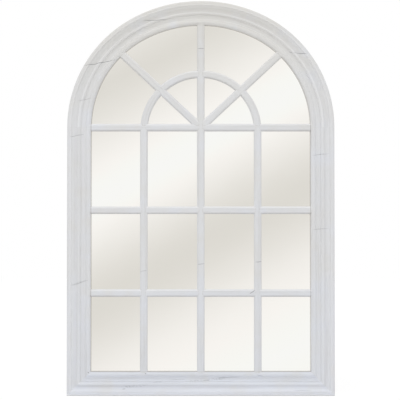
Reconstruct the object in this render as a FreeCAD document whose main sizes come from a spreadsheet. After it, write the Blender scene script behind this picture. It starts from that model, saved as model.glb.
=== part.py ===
"""Arched window mirror: a moulded wooden frame with a fan of glazing bars over twenty mirror panes.

Lengths are in millimetres. +X is right as seen from the front, +Z is up and -Y faces the viewer. The
origin is on the wall, halfway between the two hooks. Pieces are drawn in an elevation frame: x to the
right of the middle, up from the bottom edge, and depth from the back of the frame towards the viewer.
"""
import FreeCAD, Part
import math
import os
import Sketcher

SIZES = {
    # Outline of the frame, and where it hangs.
    "overall_width": 810,
    "spring_height": 812,
    "haunch_offset": 28,
    "crown_drop": 53.8,
    "hook_height": 757,
    # Frame moulding, from the sight edge outwards and from the back forwards.
    "face_width": 71.5,
    "frame_thickness": 30,
    "bead_radius": 9.2,
    "bead_rise": 2.5,
    "quirk_width": 17.5,
    "quirk_height": 13.2,
    "slope_start": 20,
    "line_start": 29.7,
    "line_height": 15.4,
    "line_width": 2,
    "line_depth": 1.2,
    "reed_height": 16,
    "ridge_start": 35.5,
    "ridge_height": 18.3,
    "ridge_crown": 1.5,
    "ridge_width": 5.5,
    "groove_height": 17.2,
    "groove_end": 44.5,
    "band_start": 58,
    "band_height": 27.5,
    "band_chamfer": 1.5,
    "slope_radius": 16,
    "reed_radius": 5,
    "cove_radius": 16,
    "edge_radius": 5,
    # Rebates in the back of the frame, the panes and the board.
    "glass_rebate": 12,
    "board_rebate": 24,
    "board_recess": 1,
    "board_thickness": 3,
    "glass_thickness": 3,
    "fit_gap": 0.5,
    # Glazing bars.
    "bar_width": 23,
    "bar_height": 10,
    "bar_flat": 10,
    "bar_edge": 2.5,
    "bar_curve": 7.5,
    "tongue_width": 5,
    "bar_pitch": 173,
    "cross_pitch": 251.5,
    "fan_radius": 173,
    "fan_drop": 10,
    "fan_angle": 43,
    # Dowels across the frame joints.
    "dowel_diameter": 8,
    "dowel_length": 30,
    "dowel_depth": 9,
    "dowel_inner": 32,
    "dowel_outer": 50,
    # Screws: shank diameter, head diameter and length.
    "board_screw": 3,
    "board_screw_head": 6,
    "board_screw_length": 11,
    "board_screw_inset": 17.5,
    "hanger_screw": 3.5,
    "hanger_screw_head": 7,
    "hanger_screw_length": 15,
    # Hangers and rings.
    "hanger_spread": 760,
    "strap_width": 14,
    "strap_length": 46,
    "strap_thickness": 1.2,
    "strap_screw_top": 12,
    "strap_screw_pitch": 24,
    "ring_wire": 3,
    "ring_play": 0.08,
    "ring_width": 21,
    "ring_drop": 16.5,
    "ring_corner": 3,
    "ring_lean": 3,
    # Wall bumpers.
    "bumper_thickness": 6,
    "bumper_diameter": 16,
    "bumper_round": 1.5,
    "bumper_height": 24,
}

doc = FreeCAD.newDocument("arched_window_mirror")
sheet = doc.addObject("Spreadsheet::Sheet", "Sizes")
for row, (alias, length) in enumerate(SIZES.items(), start=1):
    sheet.set(f"A{row}", alias.replace("_", " "))
    sheet.set(f"B{row}", str(length))
    sheet.setAlias(f"B{row}", alias)
doc.recompute()


class Amount:
    """A size that carries both its number and the sheet formula that gives it."""

    def __init__(self, number, formula):
        self.number = number
        self.formula = formula

    def __add__(self, other):
        other = amount(other)
        return Amount(self.number + other.number, f"({self.formula} + {other.formula})")

    def __sub__(self, other):
        other = amount(other)
        return Amount(self.number - other.number, f"({self.formula} - {other.formula})")

    def __mul__(self, other):
        other = amount(other)
        return Amount(self.number * other.number, f"({self.formula} * {other.formula})")

    def __truediv__(self, other):
        other = amount(other)
        return Amount(self.number / other.number, f"({self.formula} / {other.formula})")

    def __neg__(self):
        return Amount(-self.number, f"(0 - {self.formula})")

    __radd__ = __add__
    __rmul__ = __mul__


def amount(thing):
    """A plain number as an Amount; an Amount as it is."""
    return thing if isinstance(thing, Amount) else Amount(float(thing), str(float(thing)))


def cell(alias):
    return Amount(float(SIZES[alias]), f"Sizes.{alias}")


def root(square):
    return Amount(math.sqrt(square.number), f"sqrt({square.formula})")


def sine(angle):
    return Amount(math.sin(math.radians(angle.number)), f"sin({angle.formula})")


def cosine(angle):
    return Amount(math.cos(math.radians(angle.number)), f"cos({angle.formula})")


def angle_of(rise, run):
    return Amount(math.degrees(math.atan2(rise.number, run.number)), f"atan({rise.formula} / {run.formula})")


ZERO = amount(0)
FACE = cell("face_width")
SPRING = cell("spring_height")
SIGHT_HALF = cell("overall_width") / 2 - FACE
HAUNCH_OFFSET = cell("haunch_offset")
CROWN_DROP = cell("crown_drop")
CENTRE_GAP = root(HAUNCH_OFFSET * HAUNCH_OFFSET + CROWN_DROP * CROWN_DROP)
HAUNCH_SIGHT = SIGHT_HALF - HAUNCH_OFFSET
CROWN_SIGHT = HAUNCH_SIGHT + CENTRE_GAP
CROWN_HALF_ANGLE = angle_of(HAUNCH_OFFSET, CROWN_DROP)
HAUNCH_ANGLE = angle_of(CROWN_DROP, HAUNCH_OFFSET)
GLASS_BACK = cell("board_recess") + cell("board_thickness")
GLASS_FRONT = GLASS_BACK + cell("glass_thickness")
BAR_FRONT = GLASS_FRONT + cell("bar_height")
LAP_DEPTH = (GLASS_BACK + BAR_FRONT) / 2
BAR_REACH = cell("glass_rebate")
BAR_PITCH = cell("bar_pitch")
CROSS_PITCH = cell("cross_pitch")
TONGUE = cell("tongue_width")
FAN_CENTRE = SPRING - cell("fan_drop")
FAN_ANGLE = cell("fan_angle")
RING_RADIUS = cell("ring_wire") / 2
BORE_RADIUS = RING_RADIUS + cell("ring_play")
BARREL_RADIUS = BORE_RADIUS + cell("strap_thickness")
HANGER_X = cell("hanger_spread") / 2
PIVOT_HEIGHT = cell("hook_height") + RING_RADIUS - cell("ring_drop")

subparts = {}


# Helpers: binding, placing, sketching and joining.

def bind(thing, path, size):
    """Tie one property to the sheet."""
    thing.setExpression(path, size.formula)


def place(thing, x=ZERO, up=ZERO, depth=ZERO, turn=0.0, lean=0.0, lie_down=False):
    """Stand an elevation drawing up: turn it in the elevation, lean it back, or lay its Z axis along x."""
    rotation = FreeCAD.Rotation(FreeCAD.Vector(1, 0, 0), 90 + lean)
    rotation = rotation.multiply(FreeCAD.Rotation(FreeCAD.Vector(0, 0, 1), turn))
    if lie_down:
        rotation = rotation.multiply(FreeCAD.Rotation(FreeCAD.Vector(0, 1, 0), 90))
    y = -(depth + cell("bumper_thickness"))
    z = up - cell("hook_height")
    thing.Placement = FreeCAD.Placement(FreeCAD.Vector(x.number, y.number, z.number), rotation)
    bind(thing, "Placement.Base.x", x)
    bind(thing, "Placement.Base.y", y)
    bind(thing, "Placement.Base.z", z)
    return thing


def new_body(name):
    return doc.addObject("PartDesign::Body", name)


def new_sketch(body, name, plane):
    sketch = body.newObject("Sketcher::SketchObject", f"{body.Name}_{name}")
    features = body.Origin.OriginFeatures
    sketch.AttachmentSupport = [(next(f for f in features if f.Role == plane), "")]
    sketch.MapMode = "FlatFace"
    return sketch


def fix(sketch, kind, size, *where):
    """Add one dimension to a sketch and tie it to the sheet."""
    index = sketch.addConstraint(Sketcher.Constraint(kind, *where, size.number))
    sketch.setExpression(f"Constraints[{index}]", size.formula)


def arc_between(start, finish, radius, side):
    """The short arc from start to finish; its centre is on the left for side 1, on the right for -1."""
    chord = finish - start
    across = FreeCAD.Vector(-chord.y, chord.x, 0).normalize() * side
    centre = (start + finish) / 2 + across * math.sqrt(radius ** 2 - (chord.Length / 2) ** 2)
    first, last = (start, finish) if side > 0 else (finish, start)
    angles = [math.atan2(end.y - centre.y, end.x - centre.x) for end in (first, last)]
    if angles[1] < angles[0]:
        angles[1] += 2 * math.pi
    return Part.ArcOfCircle(Part.Circle(centre, FreeCAD.Vector(0, 0, 1), radius), *angles)


def outline(sketch, corners):
    """Draw a closed outline. A corner is (x, y), or (x, y, radius, side) if an arc leaves it."""
    points = [FreeCAD.Vector(corner[0].number, corner[1].number, 0) for corner in corners]
    ends = []
    for index, corner in enumerate(corners):
        start, finish = points[index], points[(index + 1) % len(points)]
        if len(corner) == 4:
            edge = sketch.addGeometry(arc_between(start, finish, corner[2].number, corner[3]), False)
            fix(sketch, "Radius", corner[2], edge)
            ends.append((edge, 1, 2) if corner[3] > 0 else (edge, 2, 1))
        else:
            edge = sketch.addGeometry(Part.LineSegment(start, finish), False)
            ends.append((edge, 1, 2))
    for (edge, _, finish), (following, start, _) in zip(ends, ends[1:] + ends[:1]):
        sketch.addConstraint(Sketcher.Constraint("Coincident", edge, finish, following, start))
    for (edge, start, _), corner in zip(ends, corners):
        fix(sketch, "DistanceX", corner[0], -1, 1, edge, start)
        fix(sketch, "DistanceY", corner[1], -1, 1, edge, start)
    return sketch


def circle(sketch, x, y, radius):
    centre = FreeCAD.Vector(x.number, y.number, 0)
    edge = sketch.addGeometry(Part.Circle(centre, FreeCAD.Vector(0, 0, 1), radius.number), False)
    fix(sketch, "Radius", radius, edge)
    fix(sketch, "DistanceX", x, -1, 1, edge, 3)
    fix(sketch, "DistanceY", y, -1, 1, edge, 3)
    return sketch


def pad(body, sketch, length, both_ways=False, backwards=False):
    feature = body.newObject("PartDesign::Pad", f"{sketch.Name}_pad")
    feature.Profile = sketch
    feature.Reversed = backwards
    feature.SideType = "Symmetric" if both_ways else "One side"
    bind(feature, "Length", length)
    return feature


def pocket_through(body, sketch):
    feature = body.newObject("PartDesign::Pocket", f"{sketch.Name}_pocket")
    feature.Profile = sketch
    feature.Type = "ThroughAll"
    feature.SideType = "Symmetric"
    return feature


def revolve(body, sketch, angle, both_ways=False, backwards=False):
    """Turn a profile about the sketch's own vertical axis."""
    feature = body.newObject("PartDesign::Revolution", f"{sketch.Name}_turned")
    feature.Profile = sketch
    feature.ReferenceAxis = (sketch, ["V_Axis"])
    feature.Midplane = both_ways
    feature.Reversed = backwards
    bind(feature, "Angle", angle)
    return feature


def box(name, x, up, depth, width, height, thickness):
    solid = doc.addObject("Part::Box", name)
    bind(solid, "Length", width)
    bind(solid, "Width", height)
    bind(solid, "Height", thickness)
    return place(solid, x, up, depth)


def combine(kind, name, shapes):
    """Join shapes with MultiFuse or Compound."""
    joined = doc.addObject(f"Part::{kind}", name)
    if kind == "Compound":
        joined.Links = shapes
    else:
        joined.Shapes = shapes
    return joined


def common(name, base, tool):
    shared = doc.addObject("Part::Common", name)
    shared.Base = base
    shared.Tool = tool
    return shared


def cut(name, base, tool):
    result = doc.addObject("Part::Cut", name)
    result.Base = base
    result.Tool = tool
    return result


def keep(node, thing):
    """Name a finished sub-part."""
    thing.Label = node
    subparts[node] = thing
    return thing


# The frame: one moulding, run straight up the stiles and along the rail, and turned round the arch.

def frame_profile(start):
    """Moulding section: across from the sight edge at start, and forwards from the frame's back."""
    bead_foot = GLASS_FRONT + cell("bead_rise")
    line_middle = cell("line_start") + cell("line_width") / 2
    ridge_top = cell("ridge_height") + cell("ridge_crown")
    ridge_end = cell("ridge_start") + cell("ridge_width")
    thickness = cell("frame_thickness")
    section = [
        (ZERO, GLASS_FRONT),
        (ZERO, bead_foot, cell("bead_radius"), -1),
        (cell("quirk_width"), cell("quirk_height")),
        (cell("slope_start"), cell("quirk_height"), cell("slope_radius"), 1),
        (cell("line_start"), cell("line_height")),
        (line_middle, cell("line_height") - cell("line_depth")),
        (cell("line_start") + cell("line_width"), cell("reed_height"), cell("reed_radius"), -1),
        (cell("ridge_start"), cell("ridge_height")),
        (cell("ridge_start") + cell("ridge_crown"), ridge_top),
        (ridge_end, ridge_top),
        (ridge_end, cell("groove_height")),
        (cell("groove_end"), cell("groove_height"), cell("cove_radius"), 1),
        (cell("band_start"), cell("band_height")),
        (cell("band_start") + cell("band_chamfer"), thickness),
        (FACE - cell("edge_radius"), thickness, cell("edge_radius"), -1),
        (FACE, thickness - cell("edge_radius")),
        (FACE, ZERO),
        (cell("board_rebate"), ZERO),
        (cell("board_rebate"), GLASS_BACK),
        (cell("glass_rebate"), GLASS_BACK),
        (cell("glass_rebate"), GLASS_FRONT),
    ]
    return [(start + corner[0],) + corner[1:] for corner in section]


def straight_member(name, length, mitres):
    """A run of the moulding along its own x, with the sight edge on its x axis and mitred ends."""
    body = new_body(name)
    pad(body, outline(new_sketch(body, "section", "YZ_Plane"), frame_profile(ZERO)), length)
    for number, (end, inner) in enumerate(mitres):
        triangle = [(end, ZERO), (inner, ZERO), (end, FACE)]
        if inner.number < end.number:
            triangle.reverse()
        pocket_through(body, outline(new_sketch(body, f"mitre{number}", "XY_Plane"), triangle))
    return body


def arch_member(name, sight_radius, angle, both_ways=False, backwards=False):
    """A piece of the arch, turned about the centre that its curve is struck from."""
    body = new_body(name)
    section = outline(new_sketch(body, "section", "XZ_Plane"), frame_profile(sight_radius))
    revolve(body, section, angle, both_ways, backwards)
    return body


def frame_blanks():
    """The six members of the frame before they are bored for dowels and screws."""
    width = cell("overall_width")
    left = straight_member("left_stile_run", SPRING, [(ZERO, FACE)])
    right = straight_member("right_stile_run", SPRING, [(SPRING, SPRING - FACE)])
    rail = straight_member("bottom_rail_run", width, [(ZERO, FACE), (width, width - FACE)])
    left_haunch = arch_member("left_haunch_run", HAUNCH_SIGHT, HAUNCH_ANGLE, backwards=True)
    right_haunch = arch_member("right_haunch_run", HAUNCH_SIGHT, HAUNCH_ANGLE)
    crown = arch_member("arch_crown_run", CROWN_SIGHT, CROWN_HALF_ANGLE * 2, both_ways=True)
    place(left, -SIGHT_HALF, ZERO, turn=90)
    place(right, SIGHT_HALF, SPRING, turn=-90)
    place(rail, width / 2, FACE, turn=180)
    place(left_haunch, -HAUNCH_OFFSET, SPRING, turn=180)
    place(right_haunch, HAUNCH_OFFSET, SPRING)
    place(crown, ZERO, SPRING - CROWN_DROP, turn=90)
    return {
        "left_stile": left,
        "right_stile": right,
        "bottom_rail": rail,
        "left_haunch": left_haunch,
        "arch_crown": crown,
        "right_haunch": right_haunch,
    }


def dowel(name, x, up, turn):
    """One dowel with its middle on a joint, lying along the direction turn."""
    pin = doc.addObject("Part::Cylinder", name)
    half = cell("dowel_length") / 2
    bind(pin, "Radius", cell("dowel_diameter") / 2)
    bind(pin, "Height", cell("dowel_length"))
    start_x = x - half * cosine(turn)
    start_up = up - half * sine(turn)
    return place(pin, start_x, start_up, cell("dowel_depth"), turn.number, lie_down=True)


def frame_dowels():
    """Two dowels across each mitre, spring-line joint and crown joint."""
    pins = []
    for spot in ("dowel_inner", "dowel_outer"):
        out = cell(spot)
        reach = HAUNCH_SIGHT + out
        for side in (-1, 1):
            name = f"{spot}_{side + 2}"
            edge = (SIGHT_HALF + out) * side
            crown_x = (HAUNCH_OFFSET + reach * HAUNCH_OFFSET / CENTRE_GAP) * side
            crown_up = SPRING + reach * CROWN_DROP / CENTRE_GAP
            pins.append(dowel(f"{name}_mitre", edge, FACE - out, amount(90 - 45 * side)))
            pins.append(dowel(f"{name}_spring", edge, SPRING, amount(90)))
            pins.append(dowel(f"{name}_crown", crown_x, crown_up, CROWN_HALF_ANGLE * -side))
    return keep("frame_dowels", combine("Compound", "frame_dowels", pins))


# The glazing bars: straight ones along a line (x, up, direction, length), and the round inner arch.

def bar_lines():
    """Where each straight bar starts, which way it runs and how long it is before it is scribed."""
    foot = FACE - BAR_REACH
    top = SPRING - CROWN_DROP + CROWN_SIGHT + BAR_REACH
    end = SIGHT_HALF + BAR_REACH
    across = HAUNCH_OFFSET * sine(FAN_ANGLE)
    to_sight = HAUNCH_OFFSET * cosine(FAN_ANGLE) + root(HAUNCH_SIGHT * HAUNCH_SIGHT - across * across)
    lines = {
        "left_bar": (-BAR_PITCH, foot, amount(90), SPRING - foot),
        "centre_bar": (ZERO, foot, amount(90), top - foot),
        "right_bar": (BAR_PITCH, foot, amount(90), SPRING - foot),
        "left_fan_bar": (ZERO, SPRING, amount(180) - FAN_ANGLE, to_sight + BAR_REACH),
        "right_fan_bar": (ZERO, SPRING, FAN_ANGLE, to_sight + BAR_REACH),
    }
    for row, name in enumerate(("transom_bar", "upper_cross_bar", "lower_cross_bar")):
        lines[name] = (-end, SPRING - CROSS_PITCH * row, ZERO, end * 2)
    return lines


def bar_profile(start):
    """Section of a glazing bar: a rounded front on a narrow tongue that stands between the panes."""
    half = cell("bar_width") / 2
    flat = cell("bar_flat") / 2
    tongue = TONGUE / 2
    shoulder = GLASS_FRONT + cell("bar_edge")
    curve = cell("bar_curve")
    section = [
        (-tongue, GLASS_BACK),
        (tongue, GLASS_BACK),
        (tongue, GLASS_FRONT),
        (half, GLASS_FRONT),
        (half, shoulder, curve, 1),
        (flat, BAR_FRONT),
        (-flat, BAR_FRONT, curve, 1),
        (-half, shoulder),
        (-half, GLASS_FRONT),
        (-tongue, GLASS_FRONT),
    ]
    return [(start + corner[0],) + corner[1:] for corner in section]


def straight_bar(name, line):
    x, up, direction, length = line
    body = new_body(f"{name}_blank")
    pad(body, outline(new_sketch(body, "section", "YZ_Plane"), bar_profile(ZERO)), length)
    return place(body, x, up, turn=direction.number)


def fan_cells():
    """The four wedges between the radial bars, used to part the fan's panes and its inner arch."""
    reach = cell("overall_width") / 2
    sides = [ZERO, FAN_ANGLE, amount(90), amount(180) - FAN_ANGLE, amount(180)]
    cells = []
    for number, (low, high) in enumerate(zip(sides, sides[1:]), start=1):
        body = new_body(f"fan_cell_{number}")
        corners = [
            (ZERO, ZERO),
            (reach * cosine(low), reach * sine(low)),
            (reach * cosine(high), reach * sine(high)),
        ]
        pad(body, outline(new_sketch(body, "wedge", "XY_Plane"), corners), cell("frame_thickness"))
        cells.append(place(body, up=SPRING))
    return cells


def glazing_bars(lines, cells, frame):
    """Halve the crossings, then scribe every bar to what it meets."""
    blanks = {name: straight_bar(name, line) for name, line in lines.items()}
    uprights = [blanks[name] for name in ("left_bar", "centre_bar", "right_bar")]
    levels = [blanks[name] for name in ("transom_bar", "upper_cross_bar", "lower_cross_bar")]
    width = cell("overall_width")
    front = box("lap_front", -width / 2, ZERO, LAP_DEPTH, width, SPRING * 2, LAP_DEPTH)
    back = box("lap_back", -width / 2, ZERO, ZERO, width, SPRING * 2, LAP_DEPTH)
    upright_fronts = common("upright_fronts", combine("MultiFuse", "uprights", uprights), front)
    level_backs = common("level_backs", combine("MultiFuse", "levels", levels), back)
    hub = combine("MultiFuse", "hub_bars", [blanks["transom_bar"], blanks["centre_bar"]])
    tools = {
        "upright": combine("MultiFuse", "upright_tool", [level_backs, frame]),
        "level": combine("MultiFuse", "level_tool", [upright_fronts, frame]),
        "fan": combine("MultiFuse", "fan_tool", [hub, frame]),
    }
    for name, blank in blanks.items():
        family = "upright" if blank in uprights else "level" if blank in levels else "fan"
        keep(name, cut(name, blank, tools[family]))
    radials = [hub, blanks["left_fan_bar"], blanks["right_fan_bar"]]
    arch = new_body("inner_arch_blank")
    section = outline(new_sketch(arch, "section", "XZ_Plane"), bar_profile(cell("fan_radius")))
    revolve(arch, section, amount(180))
    place(arch, up=FAN_CENTRE)
    radial_tool = combine("MultiFuse", "radial_bars", radials)
    names = ("inner_arch_far_right", "inner_arch_near_right", "inner_arch_near_left", "inner_arch_far_left")
    for name, wedge in zip(names, cells):
        keep(name, cut(name, common(f"{name}_piece", arch, wedge), radial_tool))


# Glass and backing.

def window_plate(name, edge, back, thickness):
    """A flat sheet in the shape of the window, reaching out past the sight edge."""
    half = SIGHT_HALF + edge
    haunch = HAUNCH_SIGHT + edge
    foot = FACE - edge
    joint_x = HAUNCH_OFFSET + haunch * HAUNCH_OFFSET / CENTRE_GAP
    joint_up = SPRING + haunch * CROWN_DROP / CENTRE_GAP
    corners = [
        (-half, foot),
        (half, foot),
        (half, SPRING, haunch, 1),
        (joint_x, joint_up, CROWN_SIGHT + edge, 1),
        (-joint_x, joint_up, haunch, 1),
        (-half, SPRING),
    ]
    body = new_body(name)
    pad(body, outline(new_sketch(body, "outline", "XY_Plane"), corners), thickness)
    return place(body, depth=back)


def pane_gaps(lines):
    """What the panes leave free for the tongues of the glazing bars."""
    gap = TONGUE + cell("fit_gap") * 2
    width = cell("overall_width")
    gaps = []
    for name, (x, up, direction, length) in lines.items():
        start_x = x + gap / 2 * sine(direction)
        start_up = up - gap / 2 * cosine(direction)
        slot = box(f"{name}_gap", ZERO, ZERO, ZERO, length, gap, GLASS_FRONT)
        gaps.append(place(slot, start_x, start_up, turn=direction.number))
    discs = []
    for name, radius in (("outside", cell("fan_radius") + gap / 2), ("inside", cell("fan_radius") - gap / 2)):
        discs.append(disc(f"arch_gap_{name}", radius))
    above = box("arch_gap_above", -width / 2, SPRING, ZERO, width, SPRING, GLASS_FRONT)
    gaps.append(common("arch_gap", cut("arch_gap_ring", *discs), above))
    return combine("MultiFuse", "pane_gaps", gaps)


def disc(name, radius):
    """A round plate on the inner arch's centre, as deep as the glass."""
    plate = doc.addObject("Part::Cylinder", name)
    bind(plate, "Radius", radius)
    bind(plate, "Height", GLASS_FRONT)
    return place(plate, up=FAN_CENTRE)


def panes(lines, cells):
    """Twenty panes cut from the window's shape: twelve squared, and the fan's inside and outside its arch."""
    edge = cell("glass_rebate") - cell("fit_gap")
    sheet_of_glass = window_plate("glass_sheet", edge, GLASS_BACK, cell("glass_thickness"))
    glass = cut("glass_field", sheet_of_glass, pane_gaps(lines))
    for row, level in enumerate(("upper", "middle", "lower")):
        for column in range(4):
            name = f"{level}_pane_{column + 1}"
            x = BAR_PITCH * (column - 2)
            up = SPRING - CROSS_PITCH * (row + 1)
            square = box(f"{name}_cell", x, up, ZERO, BAR_PITCH, CROSS_PITCH, GLASS_FRONT)
            keep(name, common(name, glass, square))
    inside = disc("arch_disc", cell("fan_radius"))
    names = ("far_right", "near_right", "near_left", "far_left")
    for name, wedge in zip(names, cells):
        both = common(f"fan_glass_{name}", glass, wedge)
        keep(f"inner_fan_pane_{name}", common(f"inner_fan_pane_{name}", both, inside))
        keep(f"outer_fan_pane_{name}", cut(f"outer_fan_pane_{name}", both, inside))


def screw(name, kind, x, up, depth):
    """A countersunk screw that points at the viewer, with its head flush at the given depth."""
    shank = cell(f"{kind}_screw") / 2
    head = cell(f"{kind}_screw_head") / 2
    length = cell(f"{kind}_screw_length")
    profile = [
        (ZERO, ZERO),
        (head, ZERO),
        (shank, head - shank),
        (shank, length - shank),
        (ZERO, length),
    ]
    body = new_body(name)
    revolve(body, outline(new_sketch(body, "half", "XZ_Plane"), profile), amount(360))
    return place(body, x, up, depth)


def board_screws():
    """Screws round the edge of the board: along the rail, up the stiles and round the arch."""
    inset = cell("board_screw_inset")
    edge = SIGHT_HALF + inset
    reach = HAUNCH_SIGHT + inset
    spots = [(BAR_PITCH * column, FACE - inset) for column in (-1.5, 0, 1.5)]
    for side in (-1, 1):
        spots += [(edge * side, FACE + CROSS_PITCH * row) for row in (0.5, 1.5, 2.5)]
        for degrees in (18, 47):
            angle = amount(degrees)
            spots.append(((HAUNCH_OFFSET + reach * cosine(angle)) * side, SPRING + reach * sine(angle)))
    spots.append((ZERO, SPRING - CROWN_DROP + CROWN_SIGHT + inset))
    recess = cell("board_recess")
    screws = [screw(f"board_screw_{n}", "board", x, up, recess) for n, (x, up) in enumerate(spots, start=1)]
    return keep("backing_screws", combine("Compound", "backing_screws", screws))


# What holds the mirror to the wall.

def hanger_screws():
    screws = []
    for side in (-1, 1):
        for row in (0, 1):
            up = PIVOT_HEIGHT - cell("strap_screw_top") - cell("strap_screw_pitch") * row
            name = f"hanger_screw_{side + 2}_{row}"
            screws.append(screw(name, "hanger", HANGER_X * side, up, -cell("strap_thickness")))
    return keep("hanger_screws", combine("Compound", "hanger_screws", screws))


def hanger_strap(side, word, screws):
    """A flat strap with a round end, and a barrel at its top that the ring's leg turns in."""
    half = cell("strap_width") / 2
    length = cell("strap_length")
    body = new_body(f"{word}_strap_blank")
    plate = [
        (-half, half - length, half, 1),
        (ZERO, -length, half, 1),
        (half, half - length),
        (half, ZERO),
        (-half, ZERO),
    ]
    pad(body, outline(new_sketch(body, "plate", "XY_Plane"), plate), cell("strap_thickness"), backwards=True)
    barrel = circle(new_sketch(body, "barrel", "YZ_Plane"), ZERO, -BARREL_RADIUS, BARREL_RADIUS)
    pad(body, barrel, cell("strap_width"), both_ways=True)
    pocket_through(body, circle(new_sketch(body, "bore", "YZ_Plane"), ZERO, -BARREL_RADIUS, BORE_RADIUS))
    place(body, HANGER_X * side, PIVOT_HEIGHT)
    return keep(f"{word}_hanger_strap", cut(f"{word}_hanger_strap", body, screws))


def d_ring(side, word):
    """A wire ring with a straight leg, hanging from the barrel and leaning a little off the strap."""
    half = cell("ring_width") / 2
    corner = cell("ring_corner")
    drop = cell("ring_drop")
    body = new_body(f"{word}_d_ring")
    path = [
        (corner - half, ZERO),
        (half - corner, ZERO, corner, -1),
        (half, -corner),
        (half, half - drop, half, -1),
        (ZERO, -drop, half, -1),
        (-half, half - drop),
        (-half, -corner, corner, -1),
    ]
    spine = outline(new_sketch(body, "path", "XY_Plane"), path)
    wire = body.newObject("PartDesign::AdditivePipe", f"{word}_ring_wire")
    wire.Profile = circle(new_sketch(body, "wire", "YZ_Plane"), ZERO, ZERO, RING_RADIUS)
    wire.Spine = spine
    place(body, HANGER_X * side, PIVOT_HEIGHT, -BARREL_RADIUS, lean=SIZES["ring_lean"])
    return keep(f"{word}_d_ring", body)


def wall_bumpers():
    """Two rubber pads on the rail's back, rounded at the rim that meets the wall."""
    radius = cell("bumper_diameter") / 2
    rim = cell("bumper_round")
    thickness = cell("bumper_thickness")
    profile = [
        (ZERO, ZERO),
        (radius - rim, ZERO, rim, 1),
        (radius, rim),
        (radius, thickness),
        (ZERO, thickness),
    ]
    pads = []
    for side in (-1, 1):
        body = new_body(f"bumper_{side + 2}")
        revolve(body, outline(new_sketch(body, "half", "XZ_Plane"), profile), amount(360))
        pads.append(place(body, HANGER_X * side, cell("bumper_height"), -thickness))
    return keep("wall_bumpers", combine("Compound", "wall_bumpers", pads))


def build():
    """Make every sub-part."""
    blanks = frame_blanks()
    frame = combine("MultiFuse", "frame_blank", list(blanks.values()))
    dowels = frame_dowels()
    screws = board_screws()
    strap_screws = hanger_screws()
    bores = combine("Compound", "frame_bores", [dowels, screws, strap_screws])
    for name, blank in blanks.items():
        keep(name, cut(name, blank, bores))
    lines = bar_lines()
    cells = fan_cells()
    glazing_bars(lines, cells, frame)
    panes(lines, cells)
    edge = cell("board_rebate") - cell("fit_gap")
    board = window_plate("board_blank", edge, cell("board_recess"), cell("board_thickness"))
    keep("backing_board", cut("backing_board", board, screws))
    for side, word in ((-1, "left"), (1, "right")):
        hanger_strap(side, word, strap_screws)
        d_ring(side, word)
    wall_bumpers()


def check():
    """Stop if anything in the document failed or a sub-part is not sound."""
    for thing in doc.Objects:
        if "Invalid" in thing.State or "Error" in thing.State:
            raise RuntimeError(f"{thing.Label} failed: {thing.State}")
    groups = ("frame_dowels", "backing_screws", "hanger_screws", "wall_bumpers")
    for node, thing in subparts.items():
        shape = thing.Shape
        if shape.isNull() or not shape.isValid():
            raise RuntimeError(f"{node} has no sound shape")
        if node not in groups and len(shape.Solids) != 1:
            raise RuntimeError(f"{node} has {len(shape.Solids)} solids")


build()
doc.recompute()
check()
os.makedirs("parts", exist_ok=True)
for node, thing in subparts.items():
    thing.Shape.exportStep(f"parts/{node}.step")
    print(f"{node}: {thing.Shape.Volume / 1000:.1f} cm3, {len(thing.Shape.Solids)} solid(s)")
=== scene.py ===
"""Looks for the arched window mirror: whitewashed frame and glazing bars, silvered panes, plain hangers.

Lengths are in metres, in the row frame: +X is right, +Z is up and -Y faces the viewer. The wall is at y = 0.
Colours are linear, with red, green, blue and alpha. A noise scale is in waves per metre, and the bare numbers
from 0 to 1 beside a noise are levels of that noise.
"""
import math

import bmesh
import bpy
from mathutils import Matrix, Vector


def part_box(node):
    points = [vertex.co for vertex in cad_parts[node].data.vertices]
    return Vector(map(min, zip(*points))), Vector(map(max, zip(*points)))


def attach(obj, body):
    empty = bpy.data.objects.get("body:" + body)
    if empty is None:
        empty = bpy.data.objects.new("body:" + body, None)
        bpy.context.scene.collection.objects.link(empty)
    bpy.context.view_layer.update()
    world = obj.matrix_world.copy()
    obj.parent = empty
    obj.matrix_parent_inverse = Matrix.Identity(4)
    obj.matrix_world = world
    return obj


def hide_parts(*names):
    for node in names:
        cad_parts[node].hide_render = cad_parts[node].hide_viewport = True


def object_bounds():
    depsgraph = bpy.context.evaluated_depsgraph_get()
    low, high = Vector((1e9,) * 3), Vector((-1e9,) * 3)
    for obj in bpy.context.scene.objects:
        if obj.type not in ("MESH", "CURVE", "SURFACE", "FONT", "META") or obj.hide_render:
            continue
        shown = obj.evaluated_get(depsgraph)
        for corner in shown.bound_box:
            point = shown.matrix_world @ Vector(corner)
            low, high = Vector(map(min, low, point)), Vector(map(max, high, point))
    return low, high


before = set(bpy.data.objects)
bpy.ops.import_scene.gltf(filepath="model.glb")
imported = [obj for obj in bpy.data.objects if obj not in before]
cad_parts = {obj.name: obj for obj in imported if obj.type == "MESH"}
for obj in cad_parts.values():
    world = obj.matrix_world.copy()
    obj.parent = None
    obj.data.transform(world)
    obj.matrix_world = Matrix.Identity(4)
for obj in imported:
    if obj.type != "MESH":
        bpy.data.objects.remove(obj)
cad_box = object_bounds()

# Sizes of the part that its looks are laid out by. The sight line is where the frame meets the glass.
SIDES = {"left": -1, "right": 1}
FRAME_FACE = 0.0715
SPRING_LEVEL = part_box("left_haunch")[0].z
HAUNCH_CENTRE = 0.028
CROWN_CENTRE_LEVEL = 0.0012
CROWN_SLOPE = (SPRING_LEVEL - CROWN_CENTRE_LEVEL) / HAUNCH_CENTRE
FAN_CENTRE_LEVEL = 0.045
FAN_ANGLE = math.radians(43)
SIGHT_HALF = cad_box[1].x - FRAME_FACE
SIGHT_BOTTOM = cad_box[0].z + FRAME_FACE
HAUNCH_SIGHT = SIGHT_HALF - HAUNCH_CENTRE
CROWN_SIGHT = cad_box[1].z - CROWN_CENTRE_LEVEL - FRAME_FACE
BACK_OF_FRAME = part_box("left_stile")[1].y
CRISP_EDGE = math.radians(24)

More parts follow.
